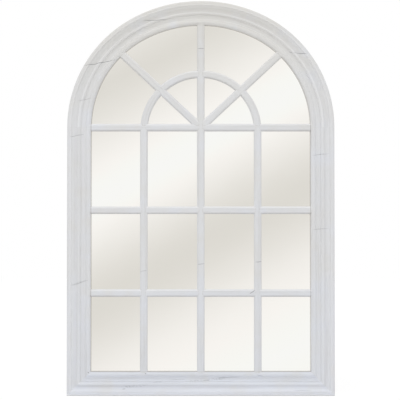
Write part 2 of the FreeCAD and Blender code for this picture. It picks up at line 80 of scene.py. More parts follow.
# How the photograph was framed.
PIXEL = 0.003028
FRAME_PIXELS = 400
OUTLINE_DEPTH = -0.031
CAMERA_DISTANCE = 4.0
AIM_X = -0.0024
AIM_LEVEL = -0.1658
CAMERA_DROP = 0.082
SENSOR = 36.0


# Writing node trees.

class Nodes:
    """A node tree that is written one node at a time."""

    def __init__(self, tree):
        self.tree = tree

    def add(self, kind, feeds=None, **settings):
        """Add a node. feeds gives its inputs, by name or number, as sockets or plain values."""
        node = self.tree.nodes.new(kind)
        for name, value in settings.items():
            setattr(node, name, value)
        for name, value in (feeds or {}).items():
            self.feed(node.inputs[name], value)
        return node

    def feed(self, socket, value):
        if isinstance(value, bpy.types.NodeSocket):
            self.tree.links.new(value, socket)
        else:
            socket.default_value = value

    def maths(self, operation, *values):
        """A Math node's result."""
        return self.add("ShaderNodeMath", dict(enumerate(values)), operation=operation).outputs[0]

    def plus(self, first, second):
        return self.maths("ADD", first, second)

    def minus(self, first, second):
        return self.maths("SUBTRACT", first, second)

    def times(self, first, second):
        return self.maths("MULTIPLY", first, second)

    def unsigned(self, value):
        return self.maths("ABSOLUTE", value)

    def vector(self, operation, *values):
        """A Vector Math node's vector."""
        return self.add("ShaderNodeVectorMath", dict(enumerate(values)), operation=operation).outputs[0]

    def dot(self, first, second):
        node = self.add("ShaderNodeVectorMath", {0: first, 1: second}, operation="DOT_PRODUCT")
        return node.outputs["Value"]

    def distance(self, first, second):
        node = self.add("ShaderNodeVectorMath", {0: first, 1: second}, operation="DISTANCE")
        return node.outputs["Value"]

    def stretch(self, vector, factors):
        return self.vector("MULTIPLY", vector, factors)

    def split(self, vector):
        """A vector's x, y and z."""
        return self.add("ShaderNodeSeparateXYZ", {0: vector}).outputs

    def join(self, x, y, z):
        return self.add("ShaderNodeCombineXYZ", {0: x, 1: y, 2: z}).outputs[0]

    def ranged(self, value, low, high, to_low=0.0, to_high=1.0, smooth=False):
        """Map a value from one range to another, and stop at its ends."""
        node = self.add("ShaderNodeMapRange", {0: value, 1: low, 2: high, 3: to_low, 4: to_high})
        node.interpolation_type = "SMOOTHSTEP" if smooth else "LINEAR"
        return node.outputs[0]

    def mix(self, share, first, second):
        """Mix two colours."""
        node = self.add("ShaderNodeMix", data_type="RGBA")
        self.feed(node.inputs["Factor"], share)
        self.feed(node.inputs[6], first)
        self.feed(node.inputs[7], second)
        return node.outputs[2]

    def noise(self, vector, scale, detail=2.0, roughness=0.5, distortion=0.0):
        feeds = {"Vector": vector, "Scale": scale, "Detail": detail, "Roughness": roughness}
        feeds["Distortion"] = distortion
        return self.add("ShaderNodeTexNoise", feeds).outputs["Fac"]

    def drawn_noise(self, vector, scales, detail=2.0, roughness=0.5, distortion=0.0):
        """Noise with a scale of its own along x, y and z."""
        return self.noise(self.stretch(vector, scales), 1.0, detail, roughness, distortion)

    def place(self):
        """Where a point is on the part."""
        return self.add("ShaderNodeTexCoord").outputs["Object"]

    def facing(self):
        """Which way the surface faces."""
        return self.add("ShaderNodeNewGeometry").outputs["Normal"]


KINDS = {"float": "NodeSocketFloat", "vector": "NodeSocketVector", "colour": "NodeSocketColor"}
EFFECTS = {}


def effect(name, takes, gives):
    """Start a shader node group; return its nodes, its inputs and a function that feeds its outputs."""
    tree = bpy.data.node_groups.new(name, "ShaderNodeTree")
    for direction, sockets in (("INPUT", takes), ("OUTPUT", gives)):
        for socket, kind in sockets.items():
            tree.interface.new_socket(name=socket, in_out=direction, socket_type=KINDS[kind])
    nodes = Nodes(tree)
    inputs = nodes.add("NodeGroupInput").outputs
    output = nodes.add("NodeGroupOutput")
    EFFECTS[name] = tree

    def give(**results):
        for socket, value in results.items():
            nodes.feed(output.inputs[socket], value)

    return nodes, inputs, give


def use(nodes, name, feeds):
    """Place a shared effect in a node tree and return its outputs."""
    return nodes.add("ShaderNodeGroup", feeds, node_tree=EFFECTS[name]).outputs


def new_material(name):
    material = bpy.data.materials.new(name)
    material.use_nodes = True
    material.node_tree.nodes.clear()
    return material, Nodes(material.node_tree)


def finish_material(nodes, **sockets):
    """Put a Principled BSDF on the material. Names like Base_Color stand for its sockets."""
    feeds = {name.replace("_", " "): value for name, value in sockets.items()}
    shader = nodes.add("ShaderNodeBsdfPrincipled", feeds)
    nodes.add("ShaderNodeOutputMaterial", {"Surface": shader.outputs[0]})


def bump(nodes, height, distance, strength=1.0, normal=None):
    feeds = {"Height": height, "Distance": distance, "Strength": strength}
    if normal is not None:
        feeds["Normal"] = normal
    return nodes.add("ShaderNodeBump", feeds).outputs[0]


# Effects that several finishes share.

def make_straight_run():
    """Coordinates along, across and into a straight board."""
    nodes, inputs, give = effect(
        "straight_run", {"Place": "vector", "Along": "vector", "Across": "vector"}, {"Run": "vector"})
    along = nodes.dot(inputs["Place"], inputs["Along"])
    across = nodes.dot(inputs["Place"], inputs["Across"])
    depth = nodes.split(inputs["Place"])["Y"]
    give(Run=nodes.join(along, across, depth))


def make_round_run():
    """Coordinates along, across and into a board that is sawn round a centre."""
    nodes, inputs, give = effect(
        "round_run", {"Place": "vector", "Centre": "vector", "Radius": "float"}, {"Run": "vector"})
    x, depth, up = nodes.split(nodes.vector("SUBTRACT", inputs["Place"], inputs["Centre"]))
    along = nodes.times(nodes.maths("ARCTAN2", up, x), inputs["Radius"])
    across = nodes.maths("SQRT", nodes.plus(nodes.times(x, x), nodes.times(up, up)))
    give(Run=nodes.join(along, across, depth))


def make_sight_line():
    """How far a place lies inside the sight line."""
    nodes, inputs, give = effect("sight_line", {"Place": "vector"}, {"Inside": "float"})
    x, _, level = nodes.split(inputs["Place"])
    side = nodes.unsigned(x)

    def inside_arc(centre_x, centre_level, radius):
        away = nodes.distance(nodes.join(side, 0.0, level), (centre_x, 0.0, centre_level))
        return nodes.minus(radius, away)

    def choose(share, first, second):
        return nodes.plus(first, nodes.times(nodes.minus(second, first), share))

    haunch = inside_arc(HAUNCH_CENTRE, SPRING_LEVEL, HAUNCH_SIGHT)
    crown = inside_arc(0.0, CROWN_CENTRE_LEVEL, CROWN_SIGHT)
    steep = nodes.minus(level, nodes.times(side, CROWN_SLOPE))
    arch = choose(nodes.maths("GREATER_THAN", steep, CROWN_CENTRE_LEVEL), haunch, crown)
    square = nodes.maths("MINIMUM", nodes.minus(SIGHT_HALF, side), nodes.minus(level, SIGHT_BOTTOM))
    give(Inside=choose(nodes.maths("GREATER_THAN", level, SPRING_LEVEL), square, arch))


# Grain: noise scales along, across and into a board.
FIBRE_SCALES = (5.0, 310.0, 310.0)
BAND_SCALES = (2.6, 95.0, 95.0)
PORE_SCALES = (38.0, 900.0, 900.0)


def make_wood_grain():
    """Long fibres and slow bands of a board, and the pores that show through thin paint."""
    nodes, inputs, give = effect(
        "wood_grain", {"Run": "vector", "Seed": "float"},
        {"Fibres": "float", "Bands": "float", "Pores": "float"})
    seed = inputs["Seed"]
    run = nodes.vector("ADD", inputs["Run"], nodes.join(seed, seed, seed))
    fibres = nodes.drawn_noise(run, FIBRE_SCALES, detail=3.0, roughness=0.6)
    bands = nodes.drawn_noise(run, BAND_SCALES, distortion=0.4)
    pores = nodes.drawn_noise(run, PORE_SCALES, detail=1.0)
    give(Fibres=fibres, Bands=bands, Pores=nodes.ranged(pores, 0.66, 0.78))


# Whitewash. It is cooler in the lower part, coolest at the foot, and warmer up the arch.
COOL_LEVELS = (-0.38, -0.46)
COOL_SHARE = 0.30
FOOT_LEVELS = (-0.66, -0.70)
WARM_LEVELS = (0.05, 0.42)
WARM_SHARE = 0.90
PATCH_SCALE = 17.0
PATCH_SHARE = 0.35
# How much of the wood shows through the paint.
BAND_SHARE = 0.07
THIN_SHARE = 0.18
PORE_SHARE = 0.10
WEAR_SHARE = 0.35
# How high the grain stands in the paint, as shares of its relief.
FIBRE_HEIGHT = 0.55
BAND_HEIGHT = 0.35
PORE_DEPTH = 0.25


def make_whitewash():
    """Thin cool paint dragged along a board: its colour, roughness and height."""
    nodes, inputs, give = effect(
        "whitewash",
        {"Run": "vector", "Place": "vector", "Paint": "colour", "Cool": "colour", "Warm": "colour",
         "Wood": "colour", "Seed": "float", "Wear": "float", "Foot": "float"},
        {"Colour": "colour", "Roughness": "float", "Height": "float"})
    cool, warm, wood = inputs["Cool"], inputs["Warm"], inputs["Wood"]
    fibres, bands, pores = use(nodes, "wood_grain", {"Run": inputs["Run"], "Seed": inputs["Seed"]})
    level = nodes.split(inputs["Place"])["Z"]
    paint = nodes.mix(nodes.ranged(level, *COOL_LEVELS, 0.0, COOL_SHARE), inputs["Paint"], cool)
    paint = nodes.mix(nodes.times(nodes.ranged(level, *FOOT_LEVELS), inputs["Foot"]), paint, cool)
    paint = nodes.mix(nodes.ranged(level, *WARM_LEVELS, 0.0, WARM_SHARE), paint, warm)
    patches = nodes.noise(inputs["Place"], PATCH_SCALE, detail=1.5)
    paint = nodes.mix(nodes.ranged(patches, 0.55, 0.75, 0.0, PATCH_SHARE), paint, cool)
    paint = nodes.mix(nodes.ranged(patches, 0.45, 0.25, 0.0, PATCH_SHARE), paint, warm)
    paint = nodes.mix(nodes.ranged(bands, 0.48, 0.68, 0.0, BAND_SHARE), paint, wood)
    thin = nodes.times(nodes.ranged(fibres, 0.50, 0.80), nodes.ranged(bands, 0.35, 0.70))
    paint = nodes.mix(nodes.times(thin, THIN_SHARE), paint, wood)
    paint = nodes.mix(nodes.times(pores, PORE_SHARE), paint, wood)
    worn = nodes.times(inputs["Wear"], nodes.ranged(fibres, 0.35, 0.62))
    paint = nodes.mix(nodes.times(worn, WEAR_SHARE), paint, wood)
    height = nodes.plus(nodes.times(fibres, FIBRE_HEIGHT), nodes.times(bands, BAND_HEIGHT))
    height = nodes.minus(height, nodes.times(pores, PORE_DEPTH))
    give(Colour=paint, Roughness=nodes.ranged(fibres, 0.2, 0.8, 0.50, 0.66), Height=height)


def make_rubbed_edges():
    """Where an edge is sharp enough for hands and cloths to rub its paint thin."""
    nodes, inputs, give = effect("rubbed_edges", {"Radius": "float"}, {"Edge": "float"})
    eased = nodes.add("ShaderNodeBevel", {"Radius": inputs["Radius"]}, samples=6).outputs[0]
    bend = nodes.minus(1.0, nodes.dot(eased, nodes.facing()))
    give(Edge=nodes.ranged(bend, 0.02, 0.22))


# Old checks: how they wander off their line, and the dashes that a broken one is parted into.
WANDER_SCALES = (45.0, 0.0, 45.0)
WANDER = 0.0045
DASH_SCALES = (150.0, 0.0, 320.0)
TAPER_START = 0.45
LEAST_WIDTH = 0.00001


def make_old_check():
    """One dry check or scratch: a thin wavy line about a middle, at a slope in the frame's face."""
    nodes, inputs, give = effect(
        "old_check",
        {"Place": "vector", "Middle": "vector", "Along": "vector", "Across": "vector",
         "Reach": "float", "Width": "float", "Broken": "float"},
        {"Mark": "float"})
    spot = nodes.vector("SUBTRACT", inputs["Place"], inputs["Middle"])
    along = nodes.dot(spot, inputs["Along"])
    across = nodes.dot(spot, inputs["Across"])
    wander = nodes.times(nodes.minus(nodes.drawn_noise(inputs["Place"], WANDER_SCALES), 0.5), WANDER)
    off = nodes.unsigned(nodes.minus(across, wander))
    far = nodes.maths("DIVIDE", nodes.unsigned(along), inputs["Reach"])
    taper = nodes.ranged(far, 1.0, TAPER_START)
    width = nodes.maths("MAXIMUM", nodes.times(inputs["Width"], taper), LEAST_WIDTH)
    near = nodes.maths("DIVIDE", off, width)
    line = nodes.times(nodes.ranged(near, 1.0, 0.25, smooth=True), nodes.ranged(taper, 0.0, 0.2))
    dashes = nodes.drawn_noise(inputs["Place"], DASH_SCALES)
    gaps = nodes.times(inputs["Broken"], nodes.ranged(dashes, 0.56, 0.46))
    give(Mark=nodes.times(line, nodes.minus(1.0, gaps)))


def make_hollows():
    """Grooves, which are painted lighter as thick paint and painted light, and the corners in them, which get
    painted shade.
    """
    nodes, inputs, give = effect("hollows", {"Reach": "float"}, {"Groove": "float", "Corner": "float"})
    occlusion = nodes.add("ShaderNodeAmbientOcclusion", {"Distance": inputs["Reach"]}, samples=8)
    open_share = occlusion.outputs["AO"]
    give(Groove=nodes.ranged(open_share, 0.98, 0.60), Corner=nodes.ranged(open_share, 0.75, 0.25))


make_straight_run()
make_round_run()
make_sight_line()
make_wood_grain()
make_whitewash()
make_rubbed_edges()
make_old_check()
make_hollows()


# Painted wood.

PAINT = (0.762, 0.768, 0.781, 1.0)
COOL_PAINT = (0.765, 0.795, 0.870, 1.0)
WARM_PAINT = (0.740, 0.726, 0.690, 1.0)
# Thick paint, which also serves as painted light in grooves and as painted highlight on upper sides and
# ridges.
THICK_PAINT_AND_HIGHLIGHT = (0.960, 0.960, 0.970, 1.0)
WORN_WOOD = (0.330, 0.290, 0.235, 1.0)
RAW_WOOD = (0.560, 0.410, 0.245, 1.0)
CHECK_SHADE = (0.150, 0.155, 0.168, 1.0)
# Painted shade in corners.
CORNER_SHADE = (0.400, 0.380, 0.345, 1.0)
# Painted shade on undersides, and painted shadow with dirt in the line at the glass.
GAP_SHADE = (0.200, 0.170, 0.140, 1.0)

RUBBED_RADIUS = 0.0012
PAINT_RELIEF = 0.00035
PAINT_RELIEF_SHARE = 0.6
# Grooves: how near their other side is, how much lighter they are painted, as thick paint and painted light,
# and how much painted shade their corners get.
GROOVE_REACH = 0.010
GROOVE_LIGHT_SHARE = 0.40
CORNER_SHADE_SHARE = 0.15
# Two lighter lines outside the sight line: a painted highlight on the ridge and painted light at the foot of
# the outer band.
RIDGE = 0.0375
RIDGE_REACH = 0.0035
STRAIGHT_RIDGE_HIGHLIGHT = 0.12
ARCH_RIDGE_HIGHLIGHT = 0.36
BAND_FOOT = 0.0570
BAND_FOOT_REACH = 0.0065
BAND_FOOT_LIGHT_SHARE = 0.18
LIGHT_LINE_BLUR = 0.0025
# Upper sides get a painted highlight and undersides painted shade, by how far they face up or down.
UPPER_SIDES = (0.15, 0.65)
UNDERSIDES = (-0.35, -0.85)
UNDERSIDE_SHADE_SHARE = 0.6
LEVEL_BAR_TOP_LIGHT = 0.40
FAN_TOP_LIGHT = 0.25
# The dark line at the glass: painted shadow and dirt.
GAP_EDGE = 0.0014
GAP_CORE = 0.0004
UPRIGHT_GAP_SHARE = 0.20
LEVEL_GAP_SHARE = 0.50
# How far the paint cools at the foot.
UPRIGHT_COOL_SHARE = 0.10
RAIL_COOL_SHARE = 0.80
# Checks are on the front only, and cut this many times as deep as the paint's relief.
CHECKS_START = -0.012
CHECKS_BLUR = 0.004
CHECK_DEPTH = 3.0
# Paint stops at a ragged edge short of the bare back.
RAGGED_REACH = 0.006
BARE_START = BACK_OF_FRAME - 0.0022
BARE_END = BACK_OF_FRAME - 0.0008


def straight_run(angle):
    """The run of a straight board that lies at an angle in the frame's face."""
    along = (math.cos(angle), 0.0, math.sin(angle))
    across = (-math.sin(angle), 0.0, math.cos(angle))
    return "straight_run", {"Along": along, "Across": across}


def round_run(x, level, radius):
    return "round_run", {"Centre": (x, 0.0, level), "Radius": radius}


def from_photo(x, y):
    """The place on the frame's face behind a pixel of the photograph."""
    half = FRAME_PIXELS / 2
    return Vector((AIM_X + (x - half) * PIXEL, 0.0, AIM_LEVEL - (y - half) * PIXEL))


def mark(nodes, face_place, start, end, width, broken):
    """A check between two pixels of the photograph; broken says how far it is parted into dashes."""
    first, last = from_photo(*start), from_photo(*end)
    along = (last - first).normalized()
    feeds = {
        "Place": face_place, "Middle": (first + last) / 2, "Along": along,
        "Across": Vector((-along.z, 0.0, along.x)), "Reach": (last - first).length / 2,
        "Width": width, "Broken": broken}
    return use(nodes, "old_check", feeds)["Mark"]


def lay_thick_paint_light_and_shade(nodes, colour, hollows, inside, ridge, top):
    """Lighter grooves (thick paint and painted light), painted shade in corners and on undersides, painted
    highlight on upper sides and two moulding lines.
    """
    # Grooves painted lighter, as thick paint and painted light; their corners get painted shade.
    colour = nodes.mix(nodes.times(hollows["Groove"], GROOVE_LIGHT_SHARE), colour, THICK_PAINT_AND_HIGHLIGHT)
    colour = nodes.mix(nodes.times(hollows["Corner"], CORNER_SHADE_SHARE), colour, CORNER_SHADE)
    # Painted highlight on upper sides and painted shade on undersides.
    up = nodes.split(nodes.facing())["Z"]
    colour = nodes.mix(nodes.ranged(up, *UPPER_SIDES, 0.0, top), colour, THICK_PAINT_AND_HIGHLIGHT)
    colour = nodes.mix(nodes.ranged(up, *UNDERSIDES, 0.0, top * UNDERSIDE_SHADE_SHARE), colour, GAP_SHADE)
    # Painted highlight on the ridge and painted light at the foot of the outer band.
    for middle, reach, share in ((RIDGE, RIDGE_REACH, ridge), (BAND_FOOT, BAND_FOOT_REACH, BAND_FOOT_LIGHT_SHARE)):
        away = nodes.unsigned(nodes.plus(inside, middle))
        line = nodes.ranged(away, reach, reach - LIGHT_LINE_BLUR, 0.0, share)
        colour = nodes.mix(line, colour, THICK_PAINT_AND_HIGHLIGHT)
    return colour


def painted_wood(name, run, seed, checks=(), gap=UPRIGHT_GAP_SHARE, ridge=STRAIGHT_RIDGE_HIGHLIGHT, top=0.0,
                 cool=UPRIGHT_COOL_SHARE):
    """Whitewashed board: its run gives the grain's direction, and checks are its old cracks.

    gap is how dark the line of painted shadow and dirt is at the glass, ridge how strong the painted
    highlight on its ridge is, top how strong the painted highlight on its upper side and the painted shade
    under it are, and cool how far it cools at the foot.
    """
    material, nodes = new_material(name)
    place = nodes.place()
    depth = nodes.split(place)["Y"]
    kind, feeds = run
    along = use(nodes, kind, {"Place": place, **feeds})["Run"]
    inside = use(nodes, "sight_line", {"Place": place})["Inside"]
    edges = use(nodes, "rubbed_edges", {"Radius": RUBBED_RADIUS})
    hollows = use(nodes, "hollows", {"Reach": GROOVE_REACH})
    wear = nodes.times(edges["Edge"], nodes.minus(1.0, hollows["Groove"]))
    wash = use(nodes, "whitewash", {
        "Run": along, "Place": place, "Paint": PAINT, "Cool": COOL_PAINT, "Warm": WARM_PAINT,
        "Wood": WORN_WOOD, "Seed": seed, "Wear": wear, "Foot": cool})
    colour = lay_thick_paint_light_and_shade(nodes, wash["Colour"], hollows, inside, ridge, top)
    # Painted shadow and dirt in a dark line where the board meets the glass.
    dark_line = nodes.times(
        nodes.ranged(inside, -GAP_EDGE, -GAP_CORE), nodes.ranged(inside, GAP_EDGE, GAP_CORE))
    colour = nodes.mix(nodes.times(dark_line, gap), colour, GAP_SHADE)

    height = wash["Height"]
    face_place = nodes.stretch(place, (1.0, 0.0, 1.0))
    near_front = nodes.ranged(depth, CHECKS_START, CHECKS_START - CHECKS_BLUR)
    for start, end, width, strength, broken in checks:
        line = nodes.times(mark(nodes, face_place, start, end, width, broken), strength)
        line = nodes.times(line, near_front)
        colour = nodes.mix(line, colour, CHECK_SHADE)
        height = nodes.minus(height, nodes.times(line, CHECK_DEPTH))

    ragged = nodes.times(nodes.minus(wash["Height"], 0.45), RAGGED_REACH)
    bare = nodes.ranged(nodes.plus(depth, ragged), BARE_START, BARE_END)
    raw = nodes.mix(nodes.ranged(wash["Height"], 0.25, 0.70), RAW_WOOD, WORN_WOOD)
    finish_material(
        nodes, Base_Color=nodes.mix(bare, colour, raw), Roughness=wash["Roughness"],
        Normal=bump(nodes, height, PAINT_RELIEF, PAINT_RELIEF_SHARE), IOR=1.45, Specular_IOR_Level=0.35)
    return material


# Checks and scuffs: their two ends in the photograph, their width, their depth and how broken they are.
THIN_CHECK = 0.0009
FINE_CHECK = 0.0012
WIDE_CHECK = 0.0020
SCUFF = 0.0042
STILE_CHECKS = [
    ((69, 137), (84, 134), FINE_CHECK, 0.5, 0.3),
    ((71, 286), (88, 280), FINE_CHECK, 0.35, 0.4),
    ((70, 285.5), (89, 280), SCUFF, 0.12, 0.0),
    ((312, 155), (330, 153.5), FINE_CHECK, 0.45, 0.3),
    ((312, 229.5), (330, 228.5), FINE_CHECK, 0.45, 0.3),
    ((87.6, 371.8), (89.4, 373.2), WIDE_CHECK, 0.6, 0.0),
]
HAUNCH_CHECKS = [
    ((82, 65.9), (117, 58.6), THIN_CHECK, 0.80, 0.0),
    ((77, 100.5), (92, 97.5), FINE_CHECK, 0.40, 0.3),
    ((293.5, 51.8), (308, 53.9), THIN_CHECK, 0.75, 0.0),
    ((289.5, 51), (292.5, 52.3), WIDE_CHECK, 0.35, 0.0),
]
CROWN_CHECKS = [((141, 20), (168, 18.6), FINE_CHECK, 0.55, 0.0)]
UPRIGHT_BAR_CHECKS = [
    ((197, 48), (205, 47.5), FINE_CHECK, 0.5, 0.0),
    ((197, 264.5), (205, 263.5), FINE_CHECK, 0.5, 0.0),
    ((254.5, 262.5), (263, 261.5), FINE_CHECK, 0.5, 0.0),
    ((140, 271.5), (147, 270.5), FINE_CHECK, 0.4, 0.0),
]
RAIL_CHECKS = [
    ((118, 387), (150, 384.8), SCUFF, 0.26, 0.9),
    ((122, 389), (126, 388.6), WIDE_CHECK, 0.30, 0.0),
    ((152, 382.6), (163, 381.6), WIDE_CHECK, 0.22, 0.3),
    ((168, 380.2), (186, 379.6), FINE_CHECK, 0.25, 0.3),
    ((182, 381.5), (212, 380.2), SCUFF, 0.18, 1.0),
    ((203, 380.5), (228, 378), SCUFF, 0.28, 1.0),
    ((216, 377.4), (242, 376.9), WIDE_CHECK, 0.34, 0.2),
    ((256, 374.5), (264, 376.5), FINE_CHECK, 0.35, 0.0),
    ((293, 390.2), (312, 390.0), FINE_CHECK, 0.22, 0.0),
    ((143.5, 371), (146.5, 374), WIDE_CHECK, 0.6, 0.0),
]
LEVEL_BAR_CHECKS = [((249.5, 294.5), (256, 289), FINE_CHECK, 0.8, 0.0)]

# The radius that a round board's length is measured at.
HAUNCH_RUN = 0.34
CROWN_RUN = 0.40
FAN_RUN = 0.173


def dress(node, material):
    """Put one material on a CAD node. Its mesh is parted at its edges, so smooth shading keeps them crisp."""
    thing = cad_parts[node]
    thing.data.materials.clear()
    thing.data.materials.append(material)
    thing.data.shade_smooth()


def paint_frame_and_bars():
    """Give every board its own run of grain. The number after each run is the seed of its grain."""
    upright, level = straight_run(math.pi / 2), straight_run(0.0)
    crown_run = round_run(0.0, CROWN_CENTRE_LEVEL, CROWN_RUN)
    fan_run = round_run(0.0, FAN_CENTRE_LEVEL, FAN_RUN)
    stile = painted_wood("whitewashed_stile", upright, 3.1, STILE_CHECKS)
    upright_bar = painted_wood("whitewashed_upright_bar", upright, 5.3, UPRIGHT_BAR_CHECKS)
    rail = painted_wood(
        "whitewashed_rail", level, 7.7, RAIL_CHECKS, gap=LEVEL_GAP_SHARE, cool=RAIL_COOL_SHARE)
    level_bar = painted_wood(
        "whitewashed_level_bar", level, 7.7, LEVEL_BAR_CHECKS, gap=LEVEL_GAP_SHARE, top=LEVEL_BAR_TOP_LIGHT)
    crown = painted_wood("whitewashed_crown", crown_run, 1.9, CROWN_CHECKS, ridge=ARCH_RIDGE_HIGHLIGHT)
    inner_arch = painted_wood("whitewashed_inner_arch", fan_run, 4.4, top=FAN_TOP_LIGHT)
    finishes = {
        "left_stile": stile, "right_stile": stile, "bottom_rail": rail, "arch_crown": crown,
        "left_bar": upright_bar, "centre_bar": upright_bar, "right_bar": upright_bar,
        "transom_bar": level_bar, "upper_cross_bar": level_bar, "lower_cross_bar": level_bar,
    }
    for word, side in SIDES.items():
        haunch_run = round_run(HAUNCH_CENTRE * side, SPRING_LEVEL, HAUNCH_RUN)
        finishes[f"{word}_haunch"] = painted_wood(
            f"whitewashed_{word}_haunch", haunch_run, 6.0 + side, HAUNCH_CHECKS, ridge=ARCH_RIDGE_HIGHLIGHT)
        slant = straight_run(math.pi / 2 - side * (math.pi / 2 - FAN_ANGLE))
        finishes[f"{word}_fan_bar"] = painted_wood(
            f"whitewashed_{word}_fan_bar", slant, 8.0 + side, top=FAN_TOP_LIGHT)
        for where in ("far", "near"):
            finishes[f"inner_arch_{where}_{word}"] = inner_arch
    for node, material in finishes.items():
        dress(node, material)


# Mirror panes.

SILVER = (0.930, 0.930, 0.925, 1.0)
REBATE_SHADE = (0.230, 0.195, 0.155, 1.0)
REBATE_SHARE = 0.40
REBATE_START = 0.0030
REBATE_END = 0.0014
REBATE_RAGGED = 0.0012
WAVE_SCALE = 9.0
WAVE_RELIEF = 0.00012
WAVE_RELIEF_SHARE = 0.5
SMEAR_SCALES = (22.0, 22.0, 9.0)
MOST_LEAN = 0.0016
LEAST_LEAN_SHARE = 0.35
LEAN_STEP = 1.7
TURN_STEP = 2.4


def mirror_glass(name, tip):
    """Silvered glass; tip is the small slope that the pane sits at in its rebate."""
    material, nodes = new_material(name)
    place = nodes.place()
    tipped = nodes.vector("NORMALIZE", nodes.vector("ADD", nodes.facing(), (tip[0], 0.0, tip[1])))
    wave = nodes.noise(nodes.stretch(place, (1.0, 0.0, 1.0)), WAVE_SCALE, detail=1.0)
    smear = nodes.drawn_noise(place, SMEAR_SCALES)
    inside = use(nodes, "sight_line", {"Place": place})["Inside"]
    ragged = nodes.times(nodes.noise(place, 160.0), REBATE_RAGGED)
    rebate = nodes.ranged(nodes.plus(inside, ragged), REBATE_START, REBATE_END)
    colour = nodes.mix(nodes.times(rebate, REBATE_SHARE), SILVER, REBATE_SHADE)
    finish_material(
        nodes, Base_Color=colour, Metallic=1.0, Roughness=nodes.ranged(smear, 0.3, 0.7, 0.012, 0.035),
        Normal=bump(nodes, wave, WAVE_RELIEF, WAVE_RELIEF_SHARE, tipped))
    return material


def silver_the_panes():
    """Each pane sits at its own slope, so the reflection steps a little from pane to pane."""
    panes = sorted(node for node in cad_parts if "_pane_" in node)
    for number, node in enumerate(panes):
        turn = number * TURN_STEP
        share = LEAST_LEAN_SHARE + (1.0 - LEAST_LEAN_SHARE) * math.sin(number * LEAN_STEP) ** 2
        lean = MOST_LEAN * share
        dress(node, mirror_glass(f"mirror_{node}", (lean * math.cos(turn), lean * math.sin(turn))))


# The back and what hangs it.

BOARD_DARK = (0.215, 0.115, 0.055, 1.0)
BOARD_LIGHT = (0.330, 0.195, 0.105, 1.0)
BOARD_CLOUD = (0.255, 0.150, 0.080, 1.0)
BEECH_DARK = (0.480, 0.290, 0.150, 1.0)
BEECH_LIGHT = (0.620, 0.420, 0.240, 1.0)
RUBBER_BLACK = (0.012, 0.012, 0.012, 1.0)
RUBBER_BLOOM = (0.034, 0.034, 0.033, 1.0)
# Zinc finishes: bright ground, duller spangle, roughness and the spangle's scale.
STRAP_ZINC = ((0.62, 0.62, 0.60, 1.0), (0.50, 0.50, 0.49, 1.0), 0.34, 260.0)
RING_ZINC = ((0.66, 0.66, 0.65, 1.0), (0.56, 0.56, 0.55, 1.0), 0.24, 420.0)
SCREW_ZINC = ((0.64, 0.62, 0.55, 1.0), (0.50, 0.48, 0.42, 1.0), 0.28, 900.0)
SCRATCH_SCALES = (150.0, 2500.0, 2500.0)
FIBRE_RELIEF = 0.0002
RUBBER_RELIEF = 0.0001
SCRATCH_RELIEF = 0.00004


def hardboard():
    material, nodes = new_material("brown_hardboard")
    place = nodes.place()
    fibre = nodes.drawn_noise(place, (160.0, 160.0, 160.0), detail=4.0, roughness=0.7)
    cloud = nodes.noise(place, 7.0)
    colour = nodes.mix(nodes.ranged(fibre, 0.3, 0.7), BOARD_DARK, BOARD_LIGHT)
    colour = nodes.mix(nodes.ranged(cloud, 0.35, 0.7, 0.0, 0.35), colour, BOARD_CLOUD)
    finish_material(nodes, Base_Color=colour, Roughness=nodes.ranged(fibre, 0.2, 0.8, 0.55, 0.8),
                    Normal=bump(nodes, fibre, FIBRE_RELIEF))
    return material


def beech():
    material, nodes = new_material("beech_dowel")
    fleck = nodes.drawn_noise(nodes.place(), (240.0, 240.0, 240.0), detail=3.0)
    colour = nodes.mix(nodes.ranged(fleck, 0.35, 0.65), BEECH_DARK, BEECH_LIGHT)
    finish_material(nodes, Base_Color=colour, Roughness=nodes.ranged(fleck, 0.2, 0.8, 0.5, 0.7),
                    Normal=bump(nodes, fleck, FIBRE_RELIEF))
    return material


def black_rubber():
    material, nodes = new_material("black_rubber")
    place = nodes.place()
    grain = nodes.noise(place, 1400.0)
    bloom = nodes.noise(place, 90.0)
    colour = nodes.mix(nodes.ranged(bloom, 0.4, 0.7), RUBBER_BLACK, RUBBER_BLOOM)
    finish_material(nodes, Base_Color=colour, Roughness=nodes.ranged(grain, 0.2, 0.8, 0.6, 0.8),
                    Normal=bump(nodes, grain, RUBBER_RELIEF))
    return material


def zinc_plate(name, bright, dull, roughness, spangle_scale):
    """Zinc on steel: a bright ground with duller spangle and fine handling scratches."""
    material, nodes = new_material(name)
    place = nodes.place()
    spangle = nodes.noise(place, spangle_scale, detail=3.0, roughness=0.6)
    scratch = nodes.drawn_noise(place, SCRATCH_SCALES, detail=1.0)
    rough = nodes.ranged(spangle, 0.3, 0.7, roughness, roughness + 0.16)
    rough = nodes.plus(rough, nodes.ranged(scratch, 0.6, 0.8, 0.0, 0.10))
    finish_material(
        nodes, Base_Color=nodes.mix(nodes.ranged(spangle, 0.35, 0.65), bright, dull), Metallic=1.0,
        Roughness=rough, Normal=bump(nodes, scratch, SCRATCH_RELIEF))
    return material


def dress_the_back():
    dress("backing_board", hardboard())
    dress("frame_dowels", beech())
    dress("wall_bumpers", black_rubber())
    strap = zinc_plate("zinc_strap", *STRAP_ZINC)
    ring = zinc_plate("zinc_wire", *RING_ZINC)
    for word in SIDES:
        dress(f"{word}_hanger_strap", strap)
        dress(f"{word}_d_ring", ring)


# Screws. The cross recess is in shares of the head's radius and depth, and its floor in shares of its mouth.
SCREW_STEPS = 32
CROSS_REACH = 0.62
CROSS_HALF_WIDTH = 0.15
CROSS_FLOOR = 0.55
CROSS_DEPTH = 0.9
SAME_POINT = 0.000002


